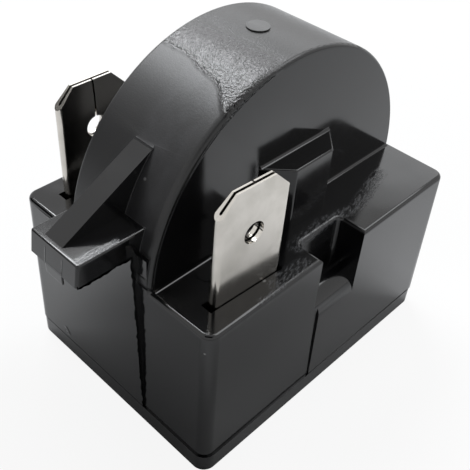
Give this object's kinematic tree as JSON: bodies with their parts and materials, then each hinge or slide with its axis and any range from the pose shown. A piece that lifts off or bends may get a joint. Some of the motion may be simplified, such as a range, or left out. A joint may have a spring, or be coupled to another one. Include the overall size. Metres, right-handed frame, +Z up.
{
  "type": "compressor start relay",
  "caption": "Plug-on PTC starter for a small refrigeration compressor: black housing with a disc dome, side ear, folded blade tabs and pin sockets underneath.",
  "frame": {"origin": "middle of the rectangular underside, in the plane it rests on", "axes": "+X along the front face, from the ear side to the socket side; +Y from the notched front face to the rear face, along the dome's axis; +Z up, from the pin side to the blade tabs"},
  "size_m": [0.0329, 0.0212, 0.0288],
  "materials": {
    "black_plastic": "black thermoset moulding, gloss on the flats and fine spark texture on the dome",
    "tinned_metal": "tin-plated strip, satin",
    "disc_ceramic": "matt grey ceramic resistor disc with electrode faces",
    "spring_steel": "bright spring steel",
    "tinned_brass": "tin-plated brass strip",
    "rivet_brass": "plain brass"
  },
  "bodies": {
    "root": {"housing": "black_plastic", "base_plate": "black_plastic", "resistor_disc": "disc_ceramic", "front_terminal": "tinned_metal", "rear_terminal": "tinned_metal", "front_contact_spring": "spring_steel", "rear_contact_spring": "spring_steel", "front_pin_socket": "tinned_brass", "rear_pin_socket": "tinned_brass", "front_socket_clip": "spring_steel", "rear_socket_clip": "spring_steel", "rivets": "rivet_brass"}
  },
  "joints": []
}
